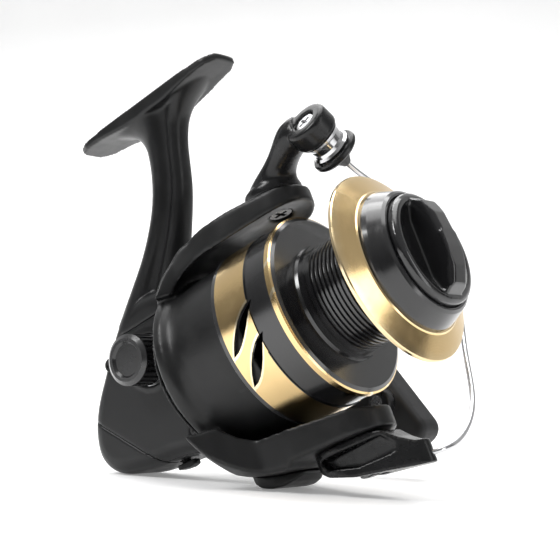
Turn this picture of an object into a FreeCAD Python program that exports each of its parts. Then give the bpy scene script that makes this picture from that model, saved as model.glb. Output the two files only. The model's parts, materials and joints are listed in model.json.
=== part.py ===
import FreeCAD, Part
import math
import os

import Sketcher
from FreeCAD import Placement, Rotation, Vector

# A front-drag spinning reel, built from separate pieces, in millimetres.
#
# Every piece is drawn in the reel's own axes: X along the spool's axis with the drag
# knob in front, Z towards the rod foot, Y towards the handle, and the origin on the
# spool's axis in the plane of the spool's rear flange. One placement, RESTING, then
# sets the whole reel down as it rests on a table, foot up: on the tail of its body
# and on the cover of the rotor's lower arm.

SIZES = {
    # spool
    "shaft_r": 2.5, "running_gap": 0.05, "arbor_r": 16.0, "arbor_bore_r": 14.0,
    "flange_r": 24.9, "skirt_r": 26.2, "skirt_wall": 1.05, "skirt_length": 22.3,
    "lip_r": 27.0, "lip_x": 20.0, "collar_r": 20.0, "collar_front": 31.0,
    "stroke": 12.0, "groove_count": 11, "slot_pairs": 3,
    # drag knob
    "knob_r": 16.0, "knob_front": 33.5, "wing_half": 3.6, "wing_front": 38.8,
    # rotor
    "cup_r": 24.9, "cup_wall": 1.8, "rim_r": 27.0, "rim_back": -44.5, "cup_front": -16.0,
    "arm_half_width": 13.5, "arm_inner_r": 30.5, "pivot_x": -7.5, "tip_r": 10.0,
    "pinion_r": 4.0, "pinion_teeth": 9, "drive_teeth": 47,
    # bail
    "wire_r": 0.8, "roller_r": 5.2, "screw_r": 3.0,
    # body and handle
    "handle_x": -60.9, "handle_z": 10.4, "gear_shaft_r": 4.0, "rod_r": 2.5,
    "drive_gear_r": 14.0, "swing_x": -74.6, "crank_throw": 6.0,
    "swing_pinion_teeth": 14, "swing_gear_teeth": 20,
    "near_side": -9.2, "far_side": 11.0, "wall": 1.8,
    "cap_r": 7.4, "cap_face": -19.0, "cap_flutes": 26,
    "grip_x": -29.2, "grip_z": -17.2, "grip_inner": 52.0, "grip_outer": 62.5,
    "grip_half_length": 16.6, "grip_half_width": 6.4,
    "stop_x": -66.5, "guide_z": -7.6,
    "foot_half_width": 7.5, "foot_top": 83.0, "foot_back": -65.0, "foot_front": -7.0,
    # how the reel rests
    "rest_pitch": 25.947, "rest_x": 28.253, "rest_y": -17.85, "rest_lift": 50.838,
}

doc = FreeCAD.newDocument("SpinningReel")
sheet = doc.addObject("Spreadsheet::Sheet", "Sizes")
for row, (word, value) in enumerate(SIZES.items(), start=1):
    sheet.set("A%d" % row, word)
    sheet.set("B%d" % row, "%g" % value)
    sheet.setAlias("B%d" % row, word)
doc.recompute()


class Dim:
    """A length that knows the sheet expression it comes from."""

    def __init__(self, value, text):
        self.value = float(value)
        self.text = text

    def join(self, other, sign, value):
        text = other.text if isinstance(other, Dim) else "%g" % other
        return Dim(value, "(%s %s %s)" % (self.text, sign, text))

    def __add__(self, other):
        return self.join(other, "+", self.value + float(other))

    def __sub__(self, other):
        return self.join(other, "-", self.value - float(other))

    def __mul__(self, other):
        return self.join(other, "*", self.value * float(other))

    def __neg__(self):
        return Dim(-self.value, "(0 - %s)" % self.text)

    def __float__(self):
        return self.value


def dim(word):
    return Dim(sheet.get(word), "Sizes." + word)


def num(word):
    return float(sheet.get(word))


RESTING = Placement(
    Vector(num("rest_x"), num("rest_y"), num("rest_lift")),
    Rotation(Vector(0, 1, 0), -num("rest_pitch")))
HERE = Placement()
ALONG_Y = Rotation(Vector(0, 0, 1), 90)
ALONG_Z = Rotation(Vector(0, 1, 0), -90)

PIECES = []


def keep(piece, name, place=HERE):
    """Name a finished piece and set it down with the rest of the reel."""
    piece.Label = name
    piece.Placement = RESTING * place
    PIECES.append(piece)
    return piece


def bind(target, path, length):
    if isinstance(length, Dim):
        target.setExpression(path, length.text)


def outline_sketch(body, name, points, role="XZ_Plane"):
    """A closed outline of straight lines; each corner is placed by sheet lengths."""
    sketch = body.newObject("Sketcher::SketchObject", name)
    plane = [item for item in body.Origin.OriginFeatures if item.Role == role][0]
    sketch.AttachmentSupport = [(plane, "")]
    sketch.MapMode = "FlatFace"
    flat = [Vector(float(u), float(v), 0) for u, v in points]
    count = len(flat)
    for i in range(count):
        sketch.addGeometry(Part.LineSegment(flat[i], flat[(i + 1) % count]))
    for i in range(count):
        sketch.addConstraint(Sketcher.Constraint("Coincident", i, 2, (i + 1) % count, 1))
    for i, (u, v) in enumerate(points):
        for kind, length in (("DistanceX", u), ("DistanceY", v)):
            index = sketch.addConstraint(Sketcher.Constraint(kind, -1, 1, i, 1, float(length)))
            bind(sketch, "Constraints[%d]" % index, length)
    return sketch


def turned(name, points, place=HERE):
    """A body of revolution about its local X axis, from (x, radius) corners."""
    body = doc.addObject("PartDesign::Body", name)
    sketch = outline_sketch(body, name + "_outline", points)
    spin = body.newObject("PartDesign::Revolution", name + "_spin")
    spin.Profile = sketch
    spin.ReferenceAxis = (sketch, ["H_Axis"])
    spin.Angle = 360
    sketch.Visibility = False
    return keep(body, name, place)


def ring_points(back, front, inner, outer):
    return [(back, inner), (front, inner), (front, outer), (back, outer)]


def ring(name, back, front, inner, outer, place=HERE):
    return turned(name, ring_points(back, front, inner, outer), place)


def shaped(name, shape, place=HERE):
    """A piece whose form needs lofts or many cuts."""
    piece = doc.addObject("Part::Feature", name)
    piece.Shape = shape
    return keep(piece, name, place)


def at_handle(y=0.0):
    """Local X runs along the handle's shaft."""
    return Placement(Vector(num("handle_x"), y, num("handle_z")), ALONG_Y)


# ---------------------------------------------------------------- shape helpers

def rod(radius, start, end):
    start, end = Vector(*start), Vector(*end)
    return Part.makeCylinder(radius, (end - start).Length, start, end - start)


def block(low, high):
    size = [high[i] - low[i] for i in range(3)]
    return Part.makeBox(size[0], size[1], size[2], Vector(*low))


def revolve_x(points):
    wire = Part.makePolygon([Vector(x, 0, r) for x, r in points] + [Vector(points[0][0], 0, points[0][1])])
    return Part.Face(wire).revolve(Vector(0, 0, 0), Vector(1, 0, 0), 360)


def smooth_wire(points):
    curve = Part.BSplineCurve()
    curve.interpolate([Vector(*p) for p in points], PeriodicFlag=True)
    return Part.Wire(curve.toShape())


def slab_xz(points, y_low, y_high, smooth=False):
    """An outline in the XZ plane, as thick as the Y range."""
    corners = [(x, y_low, z) for x, z in points]
    wire = smooth_wire(corners) if smooth else Part.makePolygon([Vector(*c) for c in corners + corners[:1]])
    return Part.Face(wire).extrude(Vector(0, y_high - y_low, 0))


def inset(points, distance):
    """Move the corners of an outline, listed counter-clockwise about its middle, inwards."""
    moved = []
    for i, (x, z) in enumerate(points):
        back, ahead = points[i - 1], points[(i + 1) % len(points)]
        first, second = Vector(x - back[0], 0, z - back[1]), Vector(ahead[0] - x, 0, ahead[1] - z)
        first.normalize()
        second.normalize()
        inward = Vector(-first.z - second.z, 0, first.x + second.x)
        inward.normalize()
        share = max(0.6, -inward.x * first.z + inward.z * first.x)
        moved.append((x + inward.x * distance / share, z + inward.z * distance / share))
    return moved


def pillow(points, y_low, y_high, radius, steps=4):
    """A slab with an outline in the XZ plane, its rims rounded all the way round."""
    levels = []
    for i in range(steps + 1):
        turn = math.radians(90.0 * i / steps)
        levels.append((y_low + radius * (1 - math.sin(turn)), radius * (1 - math.cos(turn))))
    levels.reverse()
    levels += [(y_low + y_high - y, depth) for y, depth in reversed(levels)]
    return Part.makeLoft([smooth_wire([(x, y, z) for x, z in inset(points, depth)]) for y, depth in levels],
                         True, True)


def slab_xy(points, z_low, z_high, smooth=False):
    corners = [(x, y, z_low) for x, y in points]
    wire = smooth_wire(corners) if smooth else Part.makePolygon([Vector(*c) for c in corners + corners[:1]])
    return Part.Face(wire).extrude(Vector(0, 0, z_high - z_low))


def ellipse_wire(centre, across, along, radius_across, radius_along):
    """An ellipse about a centre, in the plane of two directions."""
    u, v = Vector(*across).normalize() * radius_across, Vector(*along).normalize() * radius_along
    n = u.cross(v)
    to_place = FreeCAD.Matrix(u.x, v.x, n.x, centre[0], u.y, v.y, n.y, centre[1], u.z, v.z, n.z, centre[2])
    circle = Part.Wire(Part.Circle(Vector(0, 0, 0), Vector(0, 0, 1), 1.0).toShape())
    return circle.transformGeometry(to_place)


def stadium(centre_a, radius_a, centre_b, radius_b, steps=12):
    """A plan outline round two circles on one line along X: (x, y) corners."""
    reach = centre_b - centre_a
    tilt = math.acos((radius_a - radius_b) / reach)
    points = []
    for i in range(steps + 1):
        turn = -tilt + 2 * tilt * i / steps
        points.append((centre_b + radius_b * math.cos(turn), radius_b * math.sin(turn)))
    for i in range(steps + 1):
        turn = tilt + (2 * math.pi - 2 * tilt) * i / steps
        points.append((centre_a + radius_a * math.cos(turn), radius_a * math.sin(turn)))
    return points


def rounded(shape, radius, chosen=None):
    """Round the chosen edges one by one, leaving out any that can't be rounded."""
    for edge in [e for e in shape.Edges if chosen is None or chosen(e)]:
        match = [e for e in shape.Edges if e.CenterOfMass.distanceToPoint(edge.CenterOfMass) < 1e-6]
        if not match:
            continue
        try:
            trial = shape.makeFillet(radius, match[:1])
        except Part.OCCError:
            continue
        if trial.isValid() and trial.Solids:
            shape = trial
    return shape


def joined(first, *others):
    return first.multiFuse(list(others)).removeSplitter()


def gear_teeth(count, module, width, bore_r, backlash=0.12, addendum=0.85, dedendum=1.25):
    """A spur gear about X from x = 0, one tooth centred on +Z, with involute flanks."""
    pitch_r = module * count / 2.0
    base_r = pitch_r * math.cos(math.radians(20))
    tip_r, root_r = pitch_r + addendum * module, pitch_r - dedendum * module
    half = math.pi / (2 * count) - backlash / (2 * pitch_r) + (math.tan(math.radians(20)) - math.radians(20))
    start_r = max(base_r, root_r)
    flank = []
    for i in range(6):
        radius = start_r + (tip_r - start_r) * i / 5.0
        roll = math.acos(min(1.0, base_r / radius))
        flank.append((radius, half - (math.tan(roll) - roll)))
    corners = []
    for tooth in range(count):
        middle = 2 * math.pi * tooth / count
        side = [(root_r, middle - half - 0.02)] + [(r, middle - a) for r, a in flank]
        side += [(r, middle + a) for r, a in reversed(flank)] + [(root_r, middle + half + 0.02)]
        corners += [Vector(0, r * math.sin(a), r * math.cos(a)) for r, a in side]
    face = Part.Face(Part.makePolygon(corners + corners[:1]))
    return face.extrude(Vector(width, 0, 0)).cut(rod(bore_r, (-1, 0, 0), (width + 1, 0, 0)))


def ball_bearing(name, back, front, inner, outer, place=HERE, balls=8):
    """Two races with a ring of balls between them."""
    middle_r, middle_x = (inner + outer) / 2.0, (back + front) / 2.0
    ball_r = min((outer - inner) * 0.24, (front - back) * 0.45)
    groove = Part.makeTorus(middle_r, ball_r + 0.04, Vector(middle_x, 0, 0), Vector(1, 0, 0))
    lip = ball_r * 0.45
    races = [revolve_x(ring_points(back, front, inner, middle_r - lip)).cut(groove),
             revolve_x(ring_points(back, front, middle_r + lip, outer)).cut(groove)]
    for i in range(balls):
        turn = 2 * math.pi * i / balls
        centre = Vector(middle_x, middle_r * math.sin(turn), middle_r * math.cos(turn))
        races.append(Part.makeSphere(ball_r, centre))
    return shaped(name, Part.makeCompound(races), place)


def screw(head_r, head_height, shank_r, length):
    """A cross-head screw about X, its head's underside at x = 0 and its shank to -x."""
    solid = joined(rod(head_r, (0, 0, 0), (head_height, 0, 0)), rod(shank_r, (-length, 0, 0), (0, 0, 0)))
    arm, deep = head_r * 0.62, head_height * 0.55
    cross = joined(block((head_height - deep, -arm, -0.16 * head_r), (head_height + 1, arm, 0.16 * head_r)),
                   block((head_height - deep, -0.16 * head_r, -arm), (head_height + 1, 0.16 * head_r, arm)))
    solid = solid.cut(cross)
    return rounded(solid, head_height * 0.3,
                   lambda e: abs(e.CenterOfMass.x - head_height) < 1e-6 and e.Length > 5 * head_r)


def aimed(shape, origin, direction):
    """Turn a piece drawn about X so that X points along the direction, and move it."""
    moved = shape.copy()
    moved.Placement = Placement(Vector(*origin), Rotation(Vector(1, 0, 0), Vector(*direction)))
    return moved


# ---------------------------------------------------------------- spool

def make_spool():
    arbor_r, skirt_r = num("arbor_r"), num("skirt_r")
    skirt_in = skirt_r - num("skirt_wall")
    back = -num("skirt_length")
    outline = [(-2.5, num("shaft_r") + num("running_gap")), (-2.5, 8), (-2, 8), (-2, skirt_in), (back, skirt_in),
               (back, skirt_r - 0.25), (back + 0.3, skirt_r), (-10, skirt_r), (-10, skirt_r - 0.35),
               (-2.7, skirt_r - 0.35), (-2.4, skirt_r + 0.2), (-0.9, skirt_r + 0.2), (0, num("flange_r")),
               (0, arbor_r + 1.2), (0.9, arbor_r + 0.9), (2.6, arbor_r + 0.9), (2.6, arbor_r)]
    pitch = (19.3 - 4.0) / num("groove_count")
    for i in range(int(num("groove_count"))):
        start = 4.0 + i * pitch
        outline += [(start, arbor_r), (start + 0.25, arbor_r - 0.55), (start + 0.6, arbor_r - 0.55),
                    (start + 0.85, arbor_r)]
    outline += [(26.5, arbor_r), (26.5, num("arbor_bore_r")), (8, num("arbor_bore_r")),
                (8, num("shaft_r") + num("running_gap"))]
    spool = revolve_x(outline)
    # leaf-shaped slots through the skirt, in slanting pairs
    leaf = []
    for i in range(7):
        share = i / 6.0
        leaf.append((share, 0.092 * math.sin(math.pi * share) ** 0.8))
    cutters = []
    for pair in range(int(num("slot_pairs"))):
        for number in range(2):
            first = math.radians(171.0 + 20.5 * number - 360.0 / num("slot_pairs") * pair)
            corners = [skirt_point(s, w, first) for s, w in leaf]
            corners += [skirt_point(s, -w, first) for s, w in reversed(leaf[1:-1])]
            cutters.append(radial_cutter(corners, skirt_in - 1.0, skirt_r + 1.0))
    shaped("spool", spool.cut(Part.makeCompound(cutters)))


def skirt_point(share, side, first):
    """A point of a slanting slot: its place along X and its angle round the skirt."""
    return -8.6 - 11.6 * share, first + math.radians(26.0) * share + side


def radial_cutter(corners, inner, outer):
    loops = []
    for radius in (inner, outer):
        loop = [Vector(x, radius * math.cos(a), radius * math.sin(a)) for x, a in corners]
        loops.append(Part.makePolygon(loop + loop[:1]))
    return Part.makeLoft(loops, True, True)


def make_spool_fittings():
    shaft_r, gap = dim("shaft_r"), dim("running_gap")
    bore, lip_x, collar = dim("arbor_r") + 0.02, dim("lip_x"), dim("collar_r")
    turned("lip_ring", [
        (lip_x, bore), (lip_x + 2, bore), (lip_x + 2, collar + 0.02), (lip_x + 4.8, collar + 0.02),
        (lip_x + 4.8, collar + 0.6), (lip_x + 4.5, collar + 1.0), (lip_x + 1.8, dim("lip_r") - 0.2),
        (lip_x + 1.4, dim("lip_r")), (lip_x + 0.7, dim("lip_r")), (lip_x + 0.3, dim("lip_r") - 0.5),
        (lip_x, dim("lip_r") - 2.2)])
    front = dim("collar_front")
    turned("lip_collar", [
        (lip_x + 2.02, bore), (lip_x + 6.6, bore), (lip_x + 6.6, collar - 4), (front - 0.4, collar - 4),
        (front, collar - 3.6), (front, collar - 3.0), (front - 0.6, collar - 2.2), (lip_x + 6.8, collar - 0.5),
        (lip_x + 5.6, collar), (lip_x + 2.02, collar)])
    ring("click_wheel", -3.0, -2.52, shaft_r + 1, 8.0)
    ring("spool_seat", -4.2, -3.05, shaft_r, 7.0)
    felts = [revolve_x(ring_points(x, x + 0.9, 3.2, 13.6)) for x in (8.05, 10.05, 12.05)]
    shaped("drag_felts", Part.makeCompound(felts))
    steels = [revolve_x(ring_points(x, x + 0.9, num("shaft_r"), 13.0)) for x in (9.05, 11.05, 13.05)]
    shaped("drag_plates", Part.makeCompound(steels))
    ring("drag_clip", 14.4, 15.2, 12.4, dim("arbor_bore_r"))
    turned("main_shaft", [(-72.5, 0), (27.6, 0), (28.2, shaft_r - 0.6), (28.2, shaft_r - 0.5), (27.6, shaft_r),
                          (-72.5, shaft_r)])
    ring("drag_nut", 23.5, 28.0, shaft_r + gap, 5.6)
    turned("drag_spring", [(18.2, 3.4), (19.6, 5.4), (21.0, 3.4), (22.4, 5.4), (23.4, 4.0), (23.4, 4.6),
                           (22.4, 5.9), (21.0, 3.9), (19.6, 5.9), (18.2, 3.9)])


def make_drag_knob():
    knob_r, front = num("knob_r"), num("knob_front")
    disc = revolve_x([(17.2, 6), (29, 6), (29, 0), (front - 2.2, 0), (front - 2.2, 9), (front - 0.9, knob_r - 3.2),
                      (front, knob_r - 2.4), (front, knob_r - 1.2), (front - 0.8, knob_r), (29.6, knob_r),
                      (29.6, 10), (17.2, 10)])
    half = num("wing_front") - front
    wing = slab_xz([(front - 3.4, -13.8), (front - 0.5, -14.1), (front + half * 0.55, -12.0),
                    (front + half * 0.9, -7.6), (front + half, -2.5), (front + half, 2.5),
                    (front + half * 0.9, 7.6), (front + half * 0.55, 12.0), (front - 0.5, 14.1),
                    (front - 3.4, 13.8)], -num("wing_half"), num("wing_half"))
    wing = rounded(wing, 1.3, lambda e: e.Length < 20 and e.CenterOfMass.x > front - 3
                   and abs(abs(e.CenterOfMass.y) - num("wing_half")) < 1e-6)
    shaped("drag_knob", joined(disc, wing))


# ---------------------------------------------------------------- rotor

def lower_arm_outline():
    """The rotor's lower arm from the side, without its rounding: (x, z) corners."""
    back = num("rim_back")
    return [(back, -20), (back, -28.6), (back + 2.1, -32.0), (back + 6.6, -34.6), (back + 12.9, -36.6),
            (back + 18, -37.6), (back + 21.6, -37.6), (back + 22.0, -36.4), (6, -36.4), (6, -20)]


def make_rotor():
    cup_r, wall, rim, back = num("cup_r"), num("cup_wall"), num("rim_r"), num("rim_back")
    bore, front = num("pinion_r") - 0.2, num("cup_front")
    cup = revolve_x([(back, cup_r - wall), (-24, cup_r - wall), (-24, bore), (-21, bore), (-21, cup_r - 4),
                     (-20, cup_r - wall), (front, cup_r - wall), (front, cup_r), (back + 7.5, cup_r),
                     (back + 5.0, cup_r + 0.5), (back + 3.3, rim - 0.2), (back + 3.1, rim), (back + 0.3, rim),
                     (back, rim - 0.4)])
    inner = num("arm_inner_r")
    hollow = revolve_x([(back - 1, 0), (back - 1, cup_r - 0.5), (back + 4.0, cup_r - 0.5), (back + 6.5, 27.6),
                        (back + 10.5, 29.4), (back + 16, inner), (20, inner), (20, 0)])
    upper_limit = revolve_x([(back, 0), (back, rim), (back + 3.7, 31.2), (back + 10, 35.0), (back + 18, 38.0),
                             (20, 39.0), (20, 0)])
    lower_limit = revolve_x([(back, 0), (back, 32.0), (back + 3.7, 35.4), (back + 10, 38.0), (back + 18, 39.8),
                             (20, 39.8), (20, 0)])
    width, tip_r, pivot = num("arm_half_width"), num("tip_r"), num("pivot_x")
    plan = [(back, 25.0), (back + 3.5, 20.6), (back + 8, 16.8), (back + 14, 14.5), (back + 24, width - 0.2)]
    for i in range(13):
        turn = math.radians(78 - 156 * i / 12.0)
        plan.append((pivot + tip_r * math.cos(turn), tip_r * math.sin(turn)))
    plan += [(x, -y) for x, y in reversed(plan[:5])]
    upper = [(back, 20), (back, 24.2), (back + 3.7, 28.3), (back + 10, 31.9), (back + 18.5, 34.4),
             (back + 28, 35.3), (6, 35.2), (6, 20)]
    arms = []
    for side, z_low, limit in ((upper, 15, upper_limit), (lower_arm_outline(), -45, lower_limit)):
        shape = plan if z_low > 0 else [(x, y * (1.14 if x < back + 12 else 1.0)) for x, y in plan]
        arm = slab_xz(side, -30, 30).common(slab_xy(shape, z_low, z_low + 30)).common(limit).cut(hollow)
        arms.append(arm)
    pocket = block((-37.2, -2.6, -38.5), (-25.8, 2.6, -32.0))
    pivots = Part.makeCompound([
        rod(2.0, (pivot, 0, 30), (pivot, 0, 37)), rod(2.0, (pivot, 0, -38), (pivot, 0, -30)),
        rod(3.5, (pivot, 0, 29.5), (pivot, 0, 31.8))])
    shaped("rotor", joined(cup, *arms).cut(pocket).cut(pivots))


def make_rotor_fittings():
    pinion_r, shaft_r = num("pinion_r"), num("shaft_r")
    tube = revolve_x([(-58.5, shaft_r + 0.05), (-17.5, shaft_r + 0.05), (-17.5, pinion_r - 0.2),
                      (-24.0, pinion_r - 0.2), (-24.0, pinion_r), (-52.4, pinion_r), (-52.4, 3.1), (-58.5, 3.1)])
    teeth = []
    count = int(num("pinion_teeth"))
    for i in range(count):
        turn = 360.0 / count * i
        tooth = block((-58.4, -0.55, 2.9), (-52.4, 0.55, pinion_r + 0.2))
        tooth.rotate(Vector(0, 0, 0), Vector(1, 0, 0), turn)
        teeth.append(tooth)
    shaped("pinion_gear", joined(tube, *teeth))
    ring("clutch_sleeve", -40.2, -32.8, pinion_r, 6.5)
    nut = slab_hex(7.0, -20.95, -17.2).cut(rod(pinion_r - 0.2, (-22, 0, 0), (-16, 0, 0)))
    shaped("rotor_nut", nut)
    cover = slab_xz([(-42, -32), (-41.0, -35.6), (-38.3, -37.9), (-35.0, -39.3), (-31.5, -39.9), (-28.5, -39.6),
                     (-26.0, -38.7), (-25.0, -37.3), (-25, -30)], -8.5, 8.5)
    cover = cover.common(slab_xy(stadium(-35.5, 8.4, -31.8, 7.4), -45, -30))
    lower_arm = slab_xz(lower_arm_outline(), -24, 24)
    cover = cover.cut(lower_arm).cut(block((-37.2, -2.6, -37.0), (-25.8, 2.6, -30)))
    shaped("arm_cover", cover)
    coil = Part.makeHelix(1.7, 9.5, 1.5)
    profile = Part.Wire(Part.makeCircle(0.35, Vector(1.5, 0, 0), Vector(0, 1, 0)))
    spring = Part.Wire(coil).makePipeShell([profile], True, True)
    shaped("bail_spring", spring, Placement(Vector(-36.3, 0, -34.4), Rotation(Vector(0, 1, 0), 90)))


def slab_hex(radius, back, front):
    corners = [Vector(back, radius * math.sin(math.radians(60 * i)), radius * math.cos(math.radians(60 * i)))
               for i in range(6)]
    return Part.Face(Part.makePolygon(corners + corners[:1])).extrude(Vector(front - back, 0, 0))


# ---------------------------------------------------------------- bail

ROLLER_AXIS = Vector(0, 0.788, -0.616)
ROLLER_CENTRE = Vector(14.8, -1.0, 41.0)


def on_roller(distance):
    point = ROLLER_CENTRE + ROLLER_AXIS * distance
    return (point.x, point.y, point.z)


def make_bail_arm():
    pivot = num("pivot_x")
    top = 35.5
    base = rounded(Part.makeCylinder(8.4, 3.4, Vector(pivot, 0, top)), 1.6,
                   lambda e: e.CenterOfMass.z > top + 3)
    neck = Part.makeLoft([
        ellipse_wire((pivot, 0, top + 0.6), (1, 0, 0), (0, 1, 0), 8.2, 8.0),
        ellipse_wire((pivot + 1.6, -0.6, top + 3.6), (1, 0, -0.15), (0, 1, 0), 7.0, 6.9),
        ellipse_wire((-0.2, -2.6, 42.3), (0.80, 0, -0.60), (0, 1, 0), 4.1, 5.0),
        ellipse_wire((5.4, -4.6, 44.9), (0.52, 0, -0.85), (0, 1, 0), 4.4, 4.6),
        ellipse_wire((11.6, -5.8, 45.6), (0.12, 0, -0.99), (0, 1, 0), 5.2, 3.8),
    ], True)
    head = rod(6.6, on_roller(-9.6), on_roller(-3.1))
    head = rounded(head, 1.2)
    arm = joined(neck, head, base)
    arm = arm.cut(rod(num("roller_r") + 0.75, on_roller(-3.05), on_roller(9.0)))
    arm = arm.cut(rod(num("screw_r") + 0.25, on_roller(-12), on_roller(-7.9)))
    arm = arm.cut(rod(1.6, on_roller(-9), on_roller(-2)))
    arm = arm.cut(rod(2.0, (pivot, 0, 34), (pivot, 0, 39.5)))
    shaped("bail_arm", arm)


def make_line_roller():
    local = Placement(ROLLER_CENTRE, Rotation(Vector(1, 0, 0), ROLLER_AXIS))
    turned("line_roller", [(-2.9, 2.6), (2.3, 2.6), (2.3, 5.6), (1.7, 5.8), (1.1, 5.2), (0.2, 4.9),
                           (-1.6, 5.2), (-2.9, dim("roller_r") + 0.6)], local)
    ring("roller_bush", -3.05, 2.35, 1.65, 2.54, local)
    turned("roller_cap", [(2.45, 0), (2.45, 6.6), (2.9, 7.0), (3.9, 7.0), (4.4, 6.6), (4.4, 3.6), (6.4, 2.6),
                          (8.6, 1.3), (8.6, 0)], local)
    shaped("roller_screw", screw(num("screw_r"), 1.1, 1.55, 10.2),
           Placement(Vector(*on_roller(-7.9)), Rotation(Vector(1, 0, 0), ROLLER_AXIS * -1)))


WIRE_ROUTE = [(14.8, 5.6, 35.8), (14.0, 12.0, 33.4), (12.7, 24.0, 29.6), (11.6, 35.0, 21.5), (11.0, 42.6, 11.5),
              (10.7, 45.2, 1.0), (10.6, 42.6, -8.6), (10.9, 38.0, -17.0), (11.6, 33.6, -25.2),
              (12.5, 28.0, -33.9), (13.2, 20.0, -40.9), (13.6, 11.0, -45.6), (13.0, 4.2, -47.4), (11.0, 1.0, -47.6),
              (8.6, 0.2, -47.5)]


def wire_solid():
    curve = Part.BSplineCurve()
    curve.interpolate([Vector(*p) for p in WIRE_ROUTE])
    path = Part.Wire(curve.toShape())
    start, along = curve.value(curve.FirstParameter), curve.tangent(curve.FirstParameter)[0]
    profile = Part.Wire(Part.makeCircle(num("wire_r"), start, along))
    return path.makePipeShell([profile], True, True)


def make_bail_holder():
    pivot = num("pivot_x")
    side = [(-24, -36.6), (-2, -36.6), (1.5, -37.4), (5.0, -40.6), (9.0, -43.3), (14.4, -44.6), (14.4, -50.6),
            (9.0, -49.9), (0, -48.0), (-9, -46.2), (-16, -43.6), (-21, -40.4), (-24, -38.2)]
    plan = stadium(-13.0, 8.8, 8.4, 3.0)
    lever = slab_xz(side, -12, 12).common(slab_xy(plan, -55, -30))
    lever = lever.cut(slab_xz([(-17.5, -38.6), (1.0, -38.6), (4.6, -42.2), (4.0, -44.2), (-7, -44.2),
                               (-16, -41.6)], -12, -4.2))
    lever = lever.cut(rod(2.0, (pivot, 0, -50), (pivot, 0, -30)))
    lever = lever.cut(rod(4.1, (pivot, 0, -50), (pivot, 0, -45.0)))
    wire = wire_solid()
    shaped("bail_wire", wire)
    shaped("bail_holder", biggest(lever.cut(wire)))
    upper = screw(3.4, 1.0, 1.95, 7.0)
    lower = screw(3.8, 1.2, 1.95, 13.0)
    shaped("bail_pivot_screws", Part.makeCompound([
        aimed(upper, (pivot, 0, 31.8), (0, 0, -1)), aimed(lower, (pivot, 0, -45.0), (0, 0, -1))]))


# ---------------------------------------------------------------- body

def body_envelope():
    """The outside of the gear case, stem and foot."""
    near, far = num("near_side"), num("far_side")
    profile = [(-50.5, 28.4), (-57, 29.6), (-66, 28.0), (-72.8, 22.6), (-80.5, 14.2), (-87.2, 6.2),
               (-90.9, -2.0), (-90.9, -9.0), (-87.0, -14.0), (-80.0, -16.8), (-70, -18.2), (-60, -19.5),
               (-51.5, -20.3), (-46.2, -16.5), (-45.2, -6), (-45.2, 8), (-46.0, 20)]
    case = pillow(profile, near, far, 4.2)
    front = Part.makeCylinder(21.5, 13.5, Vector(-46, 0, 0), Vector(1, 0, 0))
    plate = Part.makeCone(22.5, 21.5, 3.0, Vector(-49, 0, 0), Vector(1, 0, 0))
    sections = [(25.0, -61.5, 11.8, 8.8), (31.0, -56.7, 10.2, 7.9), (36.6, -52.3, 8.7, 6.9),
                (42.2, -48.0, 7.6, 6.2), (48.0, -44.2, 6.9, 5.7), (54.0, -41.0, 6.5, 5.3),
                (60.0, -38.8, 6.2, 5.1), (66.0, -37.2, 6.2, 5.1), (71.0, -36.0, 7.0, 5.3),
                (75.0, -35.4, 9.2, 5.9), (78.6, -34.8, 14.5, 6.8), (81.6, -35.2, 22.0, 7.2)]
    flute = [(-1.0, 0.0), (-0.93, 0.52), (-0.72, 0.80), (-0.42, 1.0), (-0.08, 0.97), (0.12, 0.72),
             (0.40, 0.62), (0.62, 0.74), (0.84, 0.62), (1.0, 0.0)]
    loops = []
    for z, centre, half_x, half_y in sections:
        loop = [(centre + u * half_x, -v * half_y, z) for u, v in flute]
        loop += [(centre + u * half_x, v * half_y, z) for u, v in reversed(flute[1:-1])]
        loops.append(smooth_wire(loop))
    stem = Part.makeLoft(loops, True)
    back, tip, top, half = num("foot_back"), num("foot_front"), num("foot_top"), num("foot_half_width")
    middle = (back + tip) / 2.0
    foot_side = slab_xz([(back, top), (back, top - 1.9), (back + 9, top - 2.6), (middle - 8, top - 4.4),
                         (middle + 8, top - 4.4), (tip - 9, top - 2.6), (tip, top - 1.9), (tip, top)], -20, 20)
    plan = []
    for i in range(24):
        turn = 2 * math.pi * i / 24
        reach = (abs(math.cos(turn)) ** 5 + abs(math.sin(turn)) ** 5) ** (-1 / 5.0)
        plan.append((middle + (tip - back) / 2.0 * reach * math.cos(turn), half * reach * math.sin(turn)))
    foot = foot_side.common(slab_xy(plan, top - 12, top + 1))
    boss = Part.makeCylinder(10.2, 4.2, Vector(num("handle_x"), far, num("handle_z")), Vector(0, 1, 0))
    near_boss = Part.makeCylinder(
        8.6, 0.3, Vector(num("handle_x"), near - 0.3, num("handle_z")), Vector(0, 1, 0))
    return joined(case, front, plate, stem, foot, boss, near_boss)


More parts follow.
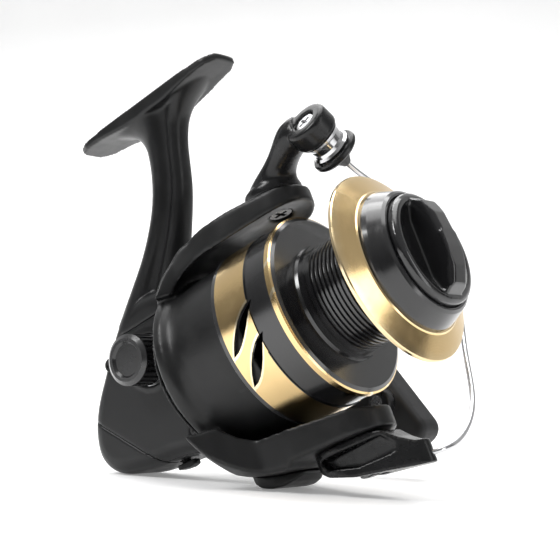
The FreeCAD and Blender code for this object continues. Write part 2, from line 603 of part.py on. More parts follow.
def body_cavity():
    """The room inside the gear case for the gears, the slider and the bearings."""
    near, far, wall = num("near_side"), num("far_side"), num("wall")
    handle_x, handle_z = num("handle_x"), num("handle_z")
    profile = [(-48.5, 19.5), (-66, 19.5), (-71.5, 19.6), (-79.1, 12.9), (-85.4, 5.5), (-88.4, -1.6),
               (-88.0, -5.2), (-84.6, -9.8), (-78.4, -13.4), (-69, -15.6), (-58, -17.2), (-48.5, -18.0)]
    room = slab_xz(profile, near + wall, far - wall)
    gear_room = rod(num("drive_gear_r") + 0.6, (handle_x, 3.4, handle_z), (handle_x, far - wall, handle_z))
    far_seat = rod(8.5, (handle_x, far - wall - 1, handle_z), (handle_x, far + 3.4, handle_z))
    far_hole = rod(5.2, (handle_x, 0, handle_z), (handle_x, 20, handle_z))
    near_seat = rod(7.4, (handle_x, near - 1, handle_z), (handle_x, near + wall + 1, handle_z))
    pinion_hole = rod(6.2, (-50, 0, 0), (-40, 0, 0))
    bearing_seat = rod(9.0, (-46.0, 0, 0), (-41.0, 0, 0))
    clutch_seat = rod(12.0, (-41.0, 0, 0), (-30, 0, 0))
    return room.multiFuse([gear_room, far_seat, far_hole, near_seat, pinion_hole, bearing_seat, clutch_seat])


SEAM = [(-96.0, 6.5), (-90.5, 5.5), (-67.5, -19.0), (-67.5, -30), (-110, -30), (-110, 6.5)]
SCREW_PLACES = [(-52.5, -14.5), (-75.6, 15.4), (-51.0, 18.2)]


def make_body():
    near = num("near_side")
    shell = body_envelope().cut(body_cavity())
    lever_hole = rod(1.45, (num("stop_x"), 0, -24), (num("stop_x"), 0, -12))
    rod_hole = rod(1.25, (-50, 0.9, num("guide_z")), (-46.4, 0.9, num("guide_z")))
    rear_zone = slab_xz(SEAM, -30, 30)
    rear = shell.common(rear_zone)
    front = shell.cut(rear_zone)
    split = near + 2.9
    cover_zone = block((-100, -40, -40), (-48.2, split, 21.5))
    cover = front.common(cover_zone)
    housing = front.cut(cover_zone)
    post = rod(2.0, (num("swing_x"), near + 1.0, 0), (num("swing_x"), -4.1, 0))
    cover = joined(cover, post)
    screws = []
    for x, z in SCREW_PLACES:
        hole = rod(1.0, (x, near - 2, z), (x, near + 12, z))
        sink = rod(2.3, (x, near - 2, z), (x, near + 0.9, z))
        pillar = rod(2.4, (x, split, z), (x, num("far_side") - 1.0, z))
        housing = joined(housing, pillar.cut(body_cavity_guard()))
        cover = joined(cover, rod(2.4, (x, near + 1.2, z), (x, split, z))).cut(hole).cut(sink)
        housing = housing.cut(rod(0.85, (x, near - 2, z), (x, near + 12, z)))
        screws.append(aimed(screw(2.1, 0.9, 0.8, 11.0), (x, near + 0.9, z), (0, -1, 0)))
    shaped("side_cover", biggest(cover))
    shaped("rear_cover", biggest(rear))
    shaped("body_housing", biggest(housing.cut(lever_hole).cut(rod_hole)))
    shaped("cover_screws", Part.makeCompound(screws))


def body_cavity_guard():
    """The room that the gears sweep, which the screw pillars stay out of."""
    handle_x, handle_z = num("handle_x"), num("handle_z")
    return rod(num("drive_gear_r") + 0.5, (handle_x, 3.8, handle_z), (handle_x, 8.0, handle_z))


def biggest(shape):
    """Drop slivers that a cut leaves behind."""
    return max(shape.Solids, key=lambda solid: solid.Volume)


# ---------------------------------------------------------------- gear train

def make_gear_train():
    handle_x, handle_z = num("handle_x"), num("handle_z")
    gear_r, tube_r = num("drive_gear_r"), num("gear_shaft_r")
    bore = num("rod_r") + 0.1
    disc = revolve_x([(-9.0, bore), (13.0, bore), (13.0, tube_r), (7.4, tube_r), (7.4, 7.5), (6.6, 8.5),
                      (6.6, gear_r - 4.2), (7.4, gear_r - 4.0), (7.4, gear_r), (5.4, gear_r), (5.4, tube_r + 2),
                      (4.0, tube_r + 1), (4.0, tube_r), (-9.0, tube_r)])
    teeth = []
    count = int(num("drive_teeth"))
    for i in range(count):
        tooth = slab_yz([(-0.36, gear_r - 4.0), (0.36, gear_r - 4.0), (0.95, gear_r), (0.05, gear_r)], 4.35, 5.5)
        tooth.rotate(Vector(0, 0, 0), Vector(1, 0, 0), 360.0 / count * i)
        teeth.append(tooth)
    shaped("drive_gear", joined(disc, *teeth), at_handle())
    spread = math.hypot(num("swing_x") - handle_x, handle_z)
    module = 2 * spread / (num("swing_pinion_teeth") + num("swing_gear_teeth"))
    aim = math.degrees(math.atan2(num("swing_x") - handle_x, -handle_z))
    width = 2.2
    small = gear_teeth(int(num("swing_pinion_teeth")), module, width, tube_r)
    shaped("oscillation_pinion", small, at_handle(-6.4) * Placement(Vector(), Rotation(Vector(1, 0, 0), aim)))
    large = gear_teeth(int(num("swing_gear_teeth")), module, width, 2.05)
    half_tooth = 180.0 / num("swing_gear_teeth")
    large.rotate(Vector(0, 0, 0), Vector(1, 0, 0), aim + 180 + half_tooth)
    pin = rod(1.4, (width, -num("crank_throw"), 0), (width + 0.7, -num("crank_throw"), 0))
    shaped("oscillation_gear", joined(large, pin), Placement(Vector(num("swing_x"), -6.4, 0), ALONG_Y))
    slot_x = num("swing_x") + num("crank_throw")
    back, front, guide_z = slot_x - 3.4, slot_x + 3.4, num("guide_z")
    slider = slab_xz([(back, -9.4), (front, -9.4), (front, 8.5), (back + 2.8, 8.5), (back, 5.6)], -3.2, 3.2)
    slider = slider.cut(block((slot_x - 1.6, -3.3, -7.8), (slot_x + 1.6, -1.6, 7.8)))
    slider = slider.cut(rod(num("shaft_r"), (slot_x - 3.9, 0, 0), (slot_x + 9, 0, 0)))
    slider = slider.cut(rod(1.3, (slot_x - 9, 0.9, guide_z), (slot_x + 9, 0.9, guide_z)))
    shaped("crosshead_slider", biggest(slider))
    shaped("guide_rod", rod(1.25, (-84.6, 0.9, guide_z), (-46.5, 0.9, guide_z)))
    ball_bearing("pinion_bearing", -46.0, -41.0, num("pinion_r") + 0.04, 9.0)
    ball_bearing("drive_bearing_near", -9.1, -6.5, num("gear_shaft_r") + 0.04, 7.4, at_handle())
    ball_bearing("drive_bearing_far", 8.4, 13.0, num("gear_shaft_r") + 0.04, 8.5, at_handle())
    rollers = [revolve_x(ring_points(-40.0, -33.0, 9.05, 12.0))]
    for i in range(8):
        turn = 2 * math.pi * i / 8
        y, z = 7.8 * math.sin(turn), 7.8 * math.cos(turn)
        rollers.append(rod(1.15, (-39.5, y, z), (-33.5, y, z)))
    shaped("one_way_clutch", Part.makeCompound(rollers))
    shaped("anti_reverse_lever", make_stop_lever())


def slab_yz(points, x_low, x_high):
    corners = [Vector(x_low, y, z) for y, z in points]
    return Part.Face(Part.makePolygon(corners + corners[:1])).extrude(Vector(x_high - x_low, 0, 0))


def make_stop_lever():
    """The tab under the case, on a stem that turns in the case's floor."""
    x = num("stop_x")
    tab = slab_xz([(x - 3.2, -19.4), (x - 2.4, -20.6), (x + 1.6, -21.2), (x + 4.0, -20.9), (x + 4.4, -20.1),
                   (x + 3.9, -19.4)], -2.2, 2.2)
    tab = tab.common(slab_xy(stadium(x - 1.0, 2.2, x + 2.8, 1.6), -23, -18))
    return joined(tab, rod(1.4, (x, 0, -19.6), (x, 0, -14.0)), rod(2.3, (x, 0, -15.2), (x, 0, -14.2)))


# ---------------------------------------------------------------- handle

def grip_frame():
    """Directions of the T-shaped grip: along its bar and across it."""
    along = Vector(0.317, 0, -0.949).normalize()
    across = Vector(0.949, 0, 0.317).normalize()
    return along, across


def make_handle():
    handle_x, handle_z = num("handle_x"), num("handle_z")
    grip_x, grip_z = num("grip_x"), num("grip_z")
    reach = math.hypot(grip_x - handle_x, grip_z - handle_z)
    turned("handle_shaft", [(-15.6, 0), (28.0, 0), (28.0, dim("rod_r")), (-15.6, dim("rod_r"))], at_handle())
    side = [(-7, 15.9), (7, 15.9), (7.5, 26.0), (17.5, 42.4), (23.0, 46.6), (reach - 6, 47.4),
            (reach + 5, 47.4), (reach + 5, 51.2), (reach - 6, 51.5), (20.0, 51.2), (12.0, 46.0), (4.5, 34.5),
            (-5, 33.5), (-7, 31.5)]
    arm = slab_xz(side, -10, 10).common(slab_xy(stadium(0.0, 7.0, reach, 5.0), 10, 60))
    arm = arm.cut(rod(num("rod_r"), (0, 0, 10), (0, 0, 28))).cut(rod(2.0, (reach, 0, 40), (reach, 0, 60)))
    angle = math.degrees(math.atan2(-(grip_z - handle_z), grip_x - handle_x))
    turn = Rotation(Vector(0, 1, 0), angle) * Rotation(Vector(1, 0, 0), -90)
    shaped("handle_arm", arm, Placement(Vector(handle_x, 0, handle_z), turn))
    face, cap_r = num("cap_face"), num("cap_r")
    cap = revolve_x([(face + 0.8, 0), (face + 0.8, 4.6), (face, 5.2), (face, 6.2), (face + 0.9, cap_r),
                     (-10.4, cap_r), (-9.7, cap_r - 0.9), (-9.7, 3.2), (-15.6, 3.2), (-15.6, 0)])
    cap = cap.cut(rod(2.5, (-15.6, 0, 0), (-9, 0, 0)))
    flutes = []
    for i in range(int(num("cap_flutes"))):
        turn = 2 * math.pi * i / num("cap_flutes")
        y, z = (cap_r + 0.15) * math.sin(turn), (cap_r + 0.15) * math.cos(turn)
        flutes.append(rod(0.55, (face + 1.6, y, z), (-9, y, z)))
    shaped("handle_cap", cap.cut(Part.makeCompound(flutes)), at_handle())
    at_grip = Placement(Vector(grip_x, 0, grip_z), ALONG_Y)
    end = dim("grip_outer")
    turned("grip_post", [(48.0, 0), (end - 1.5, 0), (end - 1.5, 3.4), (end - 2.5, 3.4), (end - 2.5, 2.0),
                         (48.0, 2.0)], at_grip)
    make_grip()
    ring("grip_cap", end - 1.1, end + 0.2, 0.0, 4.0, at_grip)


def make_grip():
    along, across = grip_frame()
    length, width = num("grip_half_length"), num("grip_half_width")
    inner, outer = num("grip_inner"), num("grip_outer")
    centre = Vector(num("grip_x"), 0, num("grip_z"))
    corner = 4.2
    outline = []
    for s, w, start in ((1, 1, 0), (-1, 1, 90), (-1, -1, 180), (1, -1, 270)):
        for i in range(5):
            turn = math.radians(start + 22.5 * i)
            outline.append(centre + along * (s * (length - corner) + corner * math.cos(turn))
                           + across * (w * (width - corner) + corner * math.sin(turn)))
    bar = slab_xz([(c.x, c.z) for c in outline], inner, outer)
    bar = bar.makeFillet(2.2, [e for e in bar.Edges if abs(e.BoundBox.YLength) < 1e-6])
    neck = Part.makeCone(4.6, 5.0, 0.8, Vector(centre.x, inner - 0.4, centre.z), Vector(0, 1, 0))
    grip = joined(bar, neck)
    grip = grip.cut(rod(2.06, (centre.x, 45, centre.z), (centre.x, outer - 1, centre.z)))
    grip = grip.cut(rod(4.0, (centre.x, outer - 2.6, centre.z), (centre.x, outer + 2, centre.z)))
    shaped("handle_grip", grip)


make_spool()
make_spool_fittings()
make_drag_knob()
make_rotor()
make_rotor_fittings()
make_bail_arm()
make_line_roller()
make_bail_holder()
make_body()
make_gear_train()
make_handle()
doc.recompute()

for item in doc.Objects:
    if "Invalid" in item.State or "Error" in item.State:
        raise RuntimeError("%s failed: %s" % (item.Label, item.State))
for piece in PIECES:
    if piece.Shape.isNull() or not piece.Shape.isValid() or not piece.Shape.Solids:
        raise RuntimeError("%s has no valid solid" % piece.Label)

os.makedirs("parts", exist_ok=True)
for piece in PIECES:
    piece.Shape.exportStep("parts/%s.step" % piece.Label)
print("%d pieces" % len(PIECES))
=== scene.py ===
import json
import math

import bmesh
import bpy
from mathutils import Matrix, Vector


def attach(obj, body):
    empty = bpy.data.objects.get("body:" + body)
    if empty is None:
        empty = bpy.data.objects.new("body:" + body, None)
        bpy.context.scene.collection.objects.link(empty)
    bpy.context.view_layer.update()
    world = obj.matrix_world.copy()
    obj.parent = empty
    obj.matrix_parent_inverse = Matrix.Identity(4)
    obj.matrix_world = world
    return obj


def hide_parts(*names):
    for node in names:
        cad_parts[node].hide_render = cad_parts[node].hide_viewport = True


# Looks for a front-drag spinning reel: moulded black plastic, black and gold anodised
# aluminium, and bright steel, on a plain pale floor.

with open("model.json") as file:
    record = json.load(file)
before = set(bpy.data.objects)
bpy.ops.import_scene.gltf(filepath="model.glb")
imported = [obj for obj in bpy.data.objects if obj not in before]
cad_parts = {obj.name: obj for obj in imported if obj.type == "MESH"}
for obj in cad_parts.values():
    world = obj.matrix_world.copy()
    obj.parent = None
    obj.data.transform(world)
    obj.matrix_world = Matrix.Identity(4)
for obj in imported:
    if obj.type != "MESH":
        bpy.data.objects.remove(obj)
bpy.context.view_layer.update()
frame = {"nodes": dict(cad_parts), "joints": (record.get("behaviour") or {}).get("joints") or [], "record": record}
NODES = frame["nodes"]
JOINTS = {joint["name"]: joint for joint in frame["joints"]}

# ---------------------------------------------------------------- the reel's own axes
# X runs along the spool, Y towards the crank, Z towards the rod foot, and the origin is
# the middle of the spool's rear flange. Lengths in these axes are in millimetres.

ORIGIN = Vector(JOINTS["rotor_spin"]["pos_m"])
AXIS_X = Vector(JOINTS["rotor_spin"]["axis"]).normalized()
AXIS_Y = Vector(JOINTS["handle_turn"]["axis"]).normalized()
AXIS_Z = AXIS_X.cross(AXIS_Y).normalized()
TURN = Matrix((AXIS_X, AXIS_Y, AXIS_Z)).transposed()


def place(x, y, z):
    return ORIGIN + TURN @ (Vector((x, y, z)) / 1000.0)


def heading(x, y, z):
    return (TURN @ Vector((x, y, z))).normalized()


# ---------------------------------------------------------------- shader helpers

class Shader:
    """A node-based material with short calls for the nodes used below."""

    def __init__(self, name):
        self.material = bpy.data.materials.new(name)
        self.material.use_nodes = True
        self.tree = self.material.node_tree
        self.tree.nodes.clear()
        self.output = self.tree.nodes.new("ShaderNodeOutputMaterial")
        self.place = self.tree.nodes.new("ShaderNodeTexCoord").outputs["Object"]

    def link(self, source, target):
        if hasattr(source, "links"):
            self.tree.links.new(source, target)
        else:
            target.default_value = source

    def math(self, kind, a, b=0.0, c=0.0):
        node = self.tree.nodes.new("ShaderNodeMath")
        node.operation = kind
        for value, socket in zip((a, b, c), node.inputs):
            self.link(value, socket)
        return node.outputs[0]

    def vector(self, kind, a, b):
        node = self.tree.nodes.new("ShaderNodeVectorMath")
        node.operation = kind
        self.link(a, node.inputs[0])
        self.link(b, node.inputs[1])
        return node.outputs["Value" if kind in ("DOT_PRODUCT", "LENGTH") else "Vector"]

    def noise(self, scale, detail=3.0, rough=0.55, coords=None):
        node = self.tree.nodes.new("ShaderNodeTexNoise")
        self.link(coords or self.place, node.inputs["Vector"])
        node.inputs["Scale"].default_value = scale
        node.inputs["Detail"].default_value = detail
        node.inputs["Roughness"].default_value = rough
        return node.outputs[0]

    def scale(self, value, low, high, new_low, new_high):
        node = self.tree.nodes.new("ShaderNodeMapRange")
        for number, socket in zip((value, low, high, new_low, new_high), node.inputs):
            self.link(number, socket)
        return node.outputs[0]

    def blend(self, share, first, second):
        node = self.tree.nodes.new("ShaderNodeMix")
        node.data_type = "RGBA"
        self.link(share, node.inputs["Factor"])
        for colour, socket in ((first, node.inputs[6]), (second, node.inputs[7])):
            self.link(colour if hasattr(colour, "links") else (*colour, 1.0), socket)
        return node.outputs[2]

    def bump(self, height, depth, under=None):
        node = self.tree.nodes.new("ShaderNodeBump")
        node.inputs["Strength"].default_value = 1.0
        node.inputs["Distance"].default_value = depth
        self.link(height, node.inputs["Height"])
        if under is not None:
            self.link(under, node.inputs["Normal"])
        return node.outputs[0]

    def edges(self, start=0.53, end=0.60):
        """1 on outward edges, 0 on flat and hollow faces."""
        point = self.tree.nodes.new("ShaderNodeNewGeometry").outputs["Pointiness"]
        return self.scale(point, start, end, 0.0, 1.0)

    def surface(self, colour, rough, normal=None, metal=0.0, **settings):
        node = self.tree.nodes.new("ShaderNodeBsdfPrincipled")
        self.link(colour if hasattr(colour, "links") else (*colour, 1.0), node.inputs["Base Color"])
        self.link(rough, node.inputs["Roughness"])
        node.inputs["Metallic"].default_value = metal
        if normal is not None:
            self.link(normal, node.inputs["Normal"])
        for socket, value in settings.items():
            node.inputs[socket.replace("_", " ")].default_value = value
        return node.outputs[0]

    def mixed(self, share, first, second):
        node = self.tree.nodes.new("ShaderNodeMixShader")
        self.link(share, node.inputs[0])
        self.link(first, node.inputs[1])
        self.link(second, node.inputs[2])
        return node.outputs[0]

    def done(self, shader):
        self.link(shader, self.output.inputs["Surface"])
        return self.material

    def reel_axes(self):
        """Position in the reel's own axes, in millimetres: x, radius from the spool's axis, angle."""
        from_origin = self.vector("SUBTRACT", self.place, tuple(ORIGIN))
        x, y, z = (self.math("MULTIPLY", self.vector("DOT_PRODUCT", from_origin, tuple(axis)), 1000.0)
                   for axis in (AXIS_X, AXIS_Y, AXIS_Z))
        squares = self.math("ADD", self.math("MULTIPLY", y, y), self.math("MULTIPLY", z, z))
        radius = self.math("SQRT", squares)
        return x, radius, self.math("ARCTAN2", z, y)


def moulded_plastic(name, colour, rough=0.40, grain=0.00001, lift=2.2):
    """Satin moulded plastic: fine grain, faint flow marks, outward edges a little paler."""
    s = Shader(name)
    paler = tuple(min(1.0, c * lift + 0.003) for c in colour)
    cloud = s.noise(60.0, 4.0)
    tone = s.blend(s.scale(cloud, 0.3, 0.7, 0.0, 0.35), colour, paler)
    tone = s.blend(s.math("MULTIPLY", s.edges(), 0.55), tone, paler)
    roughness = s.math("ADD", s.scale(s.noise(220.0, 5.0), 0.3, 0.7, rough - 0.05, rough + 0.07),
                       s.scale(cloud, 0.3, 0.7, -0.02, 0.03))
    normal = s.bump(s.noise(4200.0, 2.0), grain, s.bump(s.noise(400.0, 3.0), grain * 2.0))
    return s.done(s.surface(tone, roughness, normal, Specular_IOR_Level=0.32))


def gloss_black(name, colour=(0.006, 0.006, 0.007), rough=0.16):
    """Hard glossy black with faint handling marks."""
    s = Shader(name)
    smudge = s.noise(90.0, 5.0, 0.65)
    tone = s.blend(s.math("MULTIPLY", s.edges(), 0.35), colour, (0.05, 0.05, 0.053))
    roughness = s.scale(smudge, 0.35, 0.75, rough, rough + 0.16)
    normal = s.bump(s.noise(900.0, 2.0), 0.000004)
    return s.done(s.surface(tone, roughness, normal, Specular_IOR_Level=0.6, Coat_Weight=0.35,
                            Coat_Roughness=0.08))


def metal(name, colour, rough, marks=1400.0, depth=0.000003, dull=(0.5, 0.5, 0.5), edge_paling=0.0):
    """Bare or anodised metal with fine tool marks and a little dulling."""
    s = Shader(name)
    stain = s.noise(120.0, 5.0, 0.6)
    dulled = tuple(c * d * 1.4 for c, d in zip(colour, dull))
    tone = s.blend(s.scale(stain, 0.45, 0.8, 0.0, 0.30), colour, dulled)
    # outward edges blended towards a paler tone
    if edge_paling:
        paler_edges = tuple(min(1.0, c * 1.25) for c in colour)
        tone = s.blend(s.math("MULTIPLY", s.edges(), edge_paling), tone, paler_edges)
    roughness = s.scale(s.noise(500.0, 4.0), 0.3, 0.7, rough - 0.03, rough + 0.07)
    return s.done(s.surface(tone, roughness, s.bump(s.noise(marks, 2.0), depth), 1.0))


GOLD = (0.82, 0.60, 0.30)
PALE_GOLD = (0.97, 0.84, 0.60)
DEEP_GOLD = (0.70, 0.48, 0.22)


def turned_gold(name, rough=0.17):
    """Polished gold anodising over the fine rings that turning leaves."""
    s = Shader(name)
    x, radius, angle = s.reel_axes()
    rings = s.math("SINE", s.math("MULTIPLY", s.math("ADD", x, radius), 34.0))
    stain = s.noise(110.0, 5.0)
    tone = s.blend(s.scale(stain, 0.4, 0.8, 0.0, 0.35), GOLD, DEEP_GOLD)
    tone = s.blend(s.math("MULTIPLY", s.edges(0.52, 0.58), 0.8), tone, PALE_GOLD)
    roughness = s.math("ADD", s.scale(s.noise(260.0, 4.0), 0.3, 0.7, rough - 0.03, rough + 0.05),
                       s.math("MULTIPLY", rings, 0.012))
    return s.done(s.surface(tone, roughness, s.bump(rings, 0.0000012), 1.0))


# the skirt's slots, as the CAD spool has them: mm along X, degrees round it, radians across
SLOT_START, SLOT_LENGTH, SLOT_HALF = -8.6, 11.6, 0.092
SLOT_TIP, SLOT_LEAN, SLOT_SPACING, PAIR_SPACING = 171.0, 26.0, 20.5, 120.0


def spool_finish(name):
    """Black anodised spool; its skirt carries a gold ring and a gold band with a sawtooth edge."""
    s = Shader(name)
    x, radius, angle = s.reel_axes()
    share = s.math("DIVIDE", s.math("SUBTRACT", SLOT_START, x), SLOT_LENGTH)
    lean = s.math("SUBTRACT", s.math("SUBTRACT", angle, math.radians(SLOT_TIP)),
                  s.math("MULTIPLY", share, math.radians(SLOT_LEAN)))
    round_to = s.math("FLOORED_MODULO", lean, math.radians(PAIR_SPACING))
    tooth = s.math("MINIMUM", s.math("ABSOLUTE", round_to), s.math("ABSOLUTE", s.math(
        "SUBTRACT", round_to, math.radians(PAIR_SPACING))))
    second = s.math("ABSOLUTE", s.math("SUBTRACT", round_to, math.radians(SLOT_SPACING)))
    nearest = s.math("MINIMUM", tooth, second)
    within = s.math("MINIMUM", s.math("MAXIMUM", share, 0.0), 1.0)
    bulge = s.math("POWER", s.math("SINE", s.math("MULTIPLY", within, math.pi)), 0.8)
    rim = s.math("LESS_THAN", nearest, s.math("ADD", s.math("MULTIPLY", bulge, SLOT_HALF), 0.028))
    in_teeth = s.math("LESS_THAN", s.math("ABSOLUTE", s.math("SUBTRACT", round_to, math.radians(10.0))),
                      math.radians(19.0))
    # the band's front edge steps forward between the slots
    front = s.math("ADD", -10.2, s.math("MULTIPLY", in_teeth, 0.6))
    outside = s.math("GREATER_THAN", radius, 25.95)
    band = s.math("MULTIPLY", s.math("LESS_THAN", x, front), s.math("GREATER_THAN", x, -20.8))
    beside_slots = s.math("MULTIPLY", s.math("LESS_THAN", x, -8.1), s.math("GREATER_THAN", x, -20.8))
    bevel = s.math("MULTIPLY", rim, beside_slots)
    band = s.math("MULTIPLY", s.math("MAXIMUM", band, bevel), outside)
    ring = s.math("MULTIPLY", s.math("GREATER_THAN", radius, 25.86),
                  s.math("MULTIPLY", s.math("GREATER_THAN", x, -2.75), s.math("LESS_THAN", x, -0.35)))
    gold = s.math("MAXIMUM", band, ring)
    marks = s.math("SINE", s.math("MULTIPLY", x, 46.0))
    stain = s.noise(110.0, 5.0)
    tone = s.blend(s.scale(stain, 0.4, 0.8, 0.0, 0.35), GOLD, DEEP_GOLD)
    tone = s.blend(s.math("MULTIPLY", rim, 0.85), tone, PALE_GOLD)
    bright = s.surface(tone, s.scale(s.noise(260.0, 4.0), 0.3, 0.7, 0.13, 0.21),
                       s.bump(marks, 0.0000012), 1.0)
    deep = s.blend(s.math("MULTIPLY", s.edges(), 0.3), (0.0055, 0.0055, 0.0062), (0.08, 0.08, 0.083))
    dark = s.surface(deep, s.scale(s.noise(140.0, 5.0), 0.3, 0.75, 0.15, 0.25),
                     s.bump(marks, 0.0000008), 0.0,
                     Specular_IOR_Level=0.75, Coat_Weight=0.25, Coat_Roughness=0.1)
    return s.done(s.mixed(gold, dark, bright))


def felt(name):
    s = Shader(name)
    fibre = s.noise(2600.0, 6.0, 0.7)
    tone = s.blend(fibre, (0.20, 0.18, 0.15), (0.42, 0.38, 0.32))
    return s.done(s.surface(tone, s.scale(fibre, 0.3, 0.7, 0.85, 1.0), s.bump(fibre, 0.00008),
                            Sheen_Weight=0.4))


BODY = moulded_plastic("moulded_black", (0.0065, 0.0066, 0.0070), 0.34)
ROTOR = moulded_plastic("rotor_black", (0.0060, 0.0061, 0.0064), 0.36)
ARM = moulded_plastic("arm_black", (0.0055, 0.0056, 0.0060), 0.24)
GRIP = moulded_plastic("grip_black", (0.012, 0.012, 0.0128), 0.50, 0.00002)
CRANK = moulded_plastic("crank_paint", (0.009, 0.009, 0.0096), 0.28)
CAP = gloss_black("cap_black", (0.006, 0.006, 0.0066), 0.22)
KNOB = gloss_black("knob_black", (0.005, 0.005, 0.0056), 0.14)
SPOOL = spool_finish("spool_black_and_gold")
LIP = turned_gold("lip_gold")
CHROME = metal("chrome", (0.60, 0.60, 0.61), 0.14, edge_paling=0.2)
STEEL = metal("bright_steel", (0.60, 0.60, 0.61), 0.24, 2200.0, 0.000005)
GEAR = metal("gear_alloy", (0.52, 0.52, 0.53), 0.34, 900.0, 0.00001)
BRASS = metal("gear_brass", (0.72, 0.53, 0.24), 0.26, 1200.0, 0.000005)
BUSH = moulded_plastic("bush_plastic", (0.62, 0.60, 0.55), 0.45, lift=1.1)
FELT = felt("felt")

FINISHES = {
    BODY: ["body_housing", "side_cover", "rear_cover", "anti_reverse_lever"],
    ROTOR: ["rotor", "arm_cover"],
    ARM: ["bail_arm", "bail_holder", "bail_pivot_screws", "cover_screws", "roller_cap"],
    GRIP: ["handle_grip", "grip_cap"],
    CRANK: ["handle_arm"], CAP: ["handle_cap"], KNOB: ["drag_knob", "lip_collar"],
    SPOOL: ["spool"], LIP: ["lip_ring"], CHROME: ["bail_wire", "line_roller", "roller_screw"],
    STEEL: ["main_shaft", "handle_shaft", "guide_rod", "grip_post", "click_wheel", "spool_seat",
            "drag_plates", "drag_nut", "drag_spring", "rotor_nut", "clutch_sleeve", "drag_clip", "bail_spring",
            "pinion_bearing", "drive_bearing_near", "drive_bearing_far", "one_way_clutch"],
    GEAR: ["drive_gear", "oscillation_pinion", "oscillation_gear", "crosshead_slider"],
    BRASS: ["pinion_gear"], BUSH: ["roller_bush"], FELT: ["drag_felts"],
}


def dress(obj, material):
    obj.data.materials.clear()
    obj.data.materials.append(material)


for material, names in FINISHES.items():
    for name in names:
        dress(NODES[name], material)


# ---------------------------------------------------------------- softened mouldings

BODY_OF = {node: body for body, nodes in frame["record"]["behaviour"]["bodies"].items()
           for node in nodes}


def finish_piece(obj, node, material):
    dress(obj, material)
    for face in obj.data.polygons:
        face.use_smooth = True
    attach(obj, BODY_OF[node])


def softened(node, material, voxel, rounds):
    """The moulded form of a CAD piece: the same shape, with its edges rounded and flowing together."""
    source = NODES[node]
    obj = bpy.data.objects.new(node + "_moulded", source.data.copy())
    bpy.context.scene.collection.objects.link(obj)
    remesh = obj.modifiers.new("remesh", "REMESH")
    remesh.mode = "VOXEL"
    remesh.voxel_size = voxel / 1000.0
    smooth = obj.modifiers.new("smooth", "SMOOTH")
    smooth.factor = 0.5
    smooth.iterations = rounds
    bpy.context.view_layer.update()
    graph = bpy.context.evaluated_depsgraph_get()
    mesh = bpy.data.meshes.new_from_object(obj.evaluated_get(graph))
    obj.modifiers.clear()
    obj.data = mesh
    finish_piece(obj, node, material)
    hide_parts(node)
    return obj


for node, material, voxel, rounds in (
        ("body_housing", BODY, 0.50, 4), ("side_cover", BODY, 0.45, 3), ("rear_cover", BODY, 0.45, 4),
        ("rotor", ROTOR, 0.45, 22), ("arm_cover", ROTOR, 0.35, 12), ("bail_arm", ARM, 0.30, 14),
        ("bail_holder", ARM, 0.30, 8), ("handle_grip", GRIP, 0.40, 6), ("handle_arm", CRANK, 0.45, 8),
        ("drag_knob", KNOB, 0.30, 4), ("anti_reverse_lever", BODY, 0.20, 4)):
    softened(node, material, voxel, rounds)


# ---------------------------------------------------------------- floor, light and camera

def stage_floor():
    """A pale sweep: flat under the reel, then curving up behind it."""
    mesh = bpy.data.meshes.new("floor")
    obj = bpy.data.objects.new("floor", mesh)
    bpy.context.scene.collection.objects.link(obj)
    back = Vector((FORWARD.x, FORWARD.y, 0)).normalized()
    side = Vector((-back.y, back.x, 0))
    profile = [(-8.0, 0.0), (-0.5, 0.0), (0.0, 0.0), (0.6, 0.0)]
    for i in range(1, 17):
        turn = math.radians(90.0 * i / 16)
        profile.append((0.6 + 0.9 * math.sin(turn), 0.9 * (1 - math.cos(turn))))
    profile.append((1.5, 3.6))
    work = bmesh.new()
    rows = []
    for reach, height in profile:
        rows.append([work.verts.new(back * reach + side * w + Vector((0, 0, height - 0.0001)))
                     for w in (-6.0, -0.8, 0.8, 6.0)])
    for low, high in zip(rows, rows[1:]):
        for i in range(3):
            work.faces.new((low[i], low[i + 1], high[i + 1], high[i]))
    work.to_mesh(mesh)
    work.free()
    for face in mesh.polygons:
        face.use_smooth = True
    s = Shader("floor_card")
    mottle = s.noise(14.0, 3.0)
    tone = s.blend(s.scale(mottle, 0.3, 0.7, 0.0, 1.0), (0.88, 0.88, 0.88), (0.90, 0.90, 0.90))
    dress(obj, s.done(s.surface(tone, s.scale(mottle, 0.3, 0.7, 0.55, 0.7), Emission_Strength=0.22)))


def area_light(name, position, target, size, watts, colour=(1, 1, 1), size_y=None):
    data = bpy.data.lights.new(name, "AREA")
    data.shape = "RECTANGLE"
    data.size = size
    data.size_y = size_y or size
    data.energy = watts
    data.color = colour
    obj = bpy.data.objects.new(name, data)
    obj.location = position
    obj.rotation_euler = (Vector(target) - Vector(position)).to_track_quat("-Z", "Y").to_euler()
    bpy.context.scene.collection.objects.link(obj)
    return obj


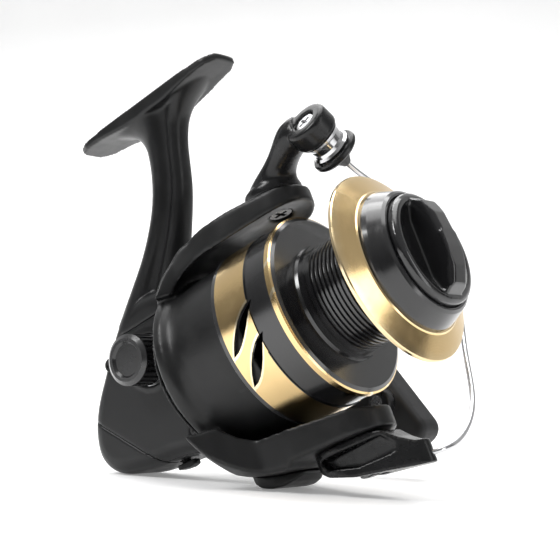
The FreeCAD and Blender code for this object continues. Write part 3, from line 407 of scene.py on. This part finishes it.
EYE = place(203.4, -329.4, -113.7)
FORWARD = heading(-0.526, 0.793, 0.308)
UP = heading(0.440, -0.056, 0.896)
RIGHT = FORWARD.cross(UP).normalized()
UP = RIGHT.cross(FORWARD).normalized()

camera_data = bpy.data.cameras.new("camera")
camera_data.lens = 96.37
camera_data.sensor_width = 36.0
camera_data.clip_start = 0.01
camera_data.clip_end = 20.0
camera_data.dof.use_dof = False
camera = bpy.data.objects.new("camera", camera_data)
camera.matrix_world = Matrix.Translation(EYE) @ Matrix((RIGHT, UP, -FORWARD)).transposed().to_4x4()
bpy.context.scene.collection.objects.link(camera)
bpy.context.scene.camera = camera

stage_floor()

middle = Vector((0.0, 0.0, 0.06))
level = Vector((FORWARD.x, FORWARD.y, 0)).normalized()
across = Vector((RIGHT.x, RIGHT.y, 0)).normalized()
up = Vector((0, 0, 1))
area_light("key", middle - level * 0.35 - across * 0.75 + up * 0.75, middle, 0.40, 7.0)
area_light("top", middle + up * 1.0 + level * 0.1, middle, 0.9, 9.0)
area_light("fill", middle - level * 0.5 + across * 0.9 + up * 0.25, middle, 0.25, 1.8, size_y=0.8)
area_light("back", middle + level * 0.7 + up * 0.9 - across * 0.2, middle, 1.0, 7.0)

world = bpy.data.worlds.new("studio")
bpy.context.scene.world = world
world.use_nodes = True
tree = world.node_tree
tree.nodes.clear()
ground = tree.nodes.new("ShaderNodeTexCoord")
split = tree.nodes.new("ShaderNodeSeparateXYZ")
ramp = tree.nodes.new("ShaderNodeValToRGB")
glow = tree.nodes.new("ShaderNodeBackground")
result = tree.nodes.new("ShaderNodeOutputWorld")
tree.links.new(ground.outputs["Generated"], split.inputs[0])
tree.links.new(split.outputs[2], ramp.inputs[0])
tree.links.new(ramp.outputs[0], glow.inputs[0])
tree.links.new(glow.outputs[0], result.inputs[0])
ramp.color_ramp.elements[0].position = 0.0
ramp.color_ramp.elements[0].color = (0.20, 0.20, 0.20, 1)
ramp.color_ramp.elements[1].position = 0.6
ramp.color_ramp.elements[1].color = (0.95, 0.95, 0.95, 1)
glow.inputs[1].default_value = 0.42

bpy.context.scene.view_settings.view_transform = "Standard"
